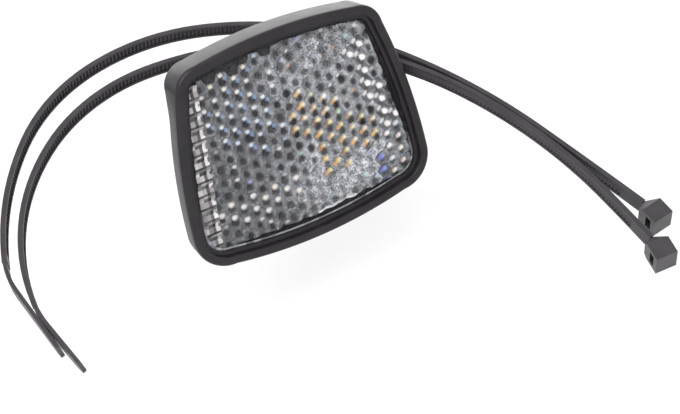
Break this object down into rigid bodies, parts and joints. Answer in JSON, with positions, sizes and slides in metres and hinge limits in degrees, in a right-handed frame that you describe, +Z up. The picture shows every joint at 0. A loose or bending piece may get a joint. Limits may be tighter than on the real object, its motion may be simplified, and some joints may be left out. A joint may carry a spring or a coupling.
{
  "type": "front reflector",
  "caption": "Clear prismatic front reflector in a black bowed housing with a tube saddle on its back and open cable ties resting on the saddle.",
  "frame": {"origin": "on the axis of the tube that the saddle takes, half way up the saddle", "axes": "+Z up along that tube and along the face's narrow-to-wide middle line, narrow edge up; the lens faces -Y; +X to the viewer's right"},
  "size_m": [0.1391, 0.1113, 0.0658],
  "materials": {
    "housing_plastic": "satin black moulding",
    "lens_plastic": "clear, polished front, corner-cube pins behind",
    "tie_nylon": "black nylon with a soft sheen"
  },
  "bodies": {
    "root": {"housing": "housing_plastic", "lens": "lens_plastic", "near_tie": "tie_nylon", "far_tie": "tie_nylon"}
  },
  "joints": []
}
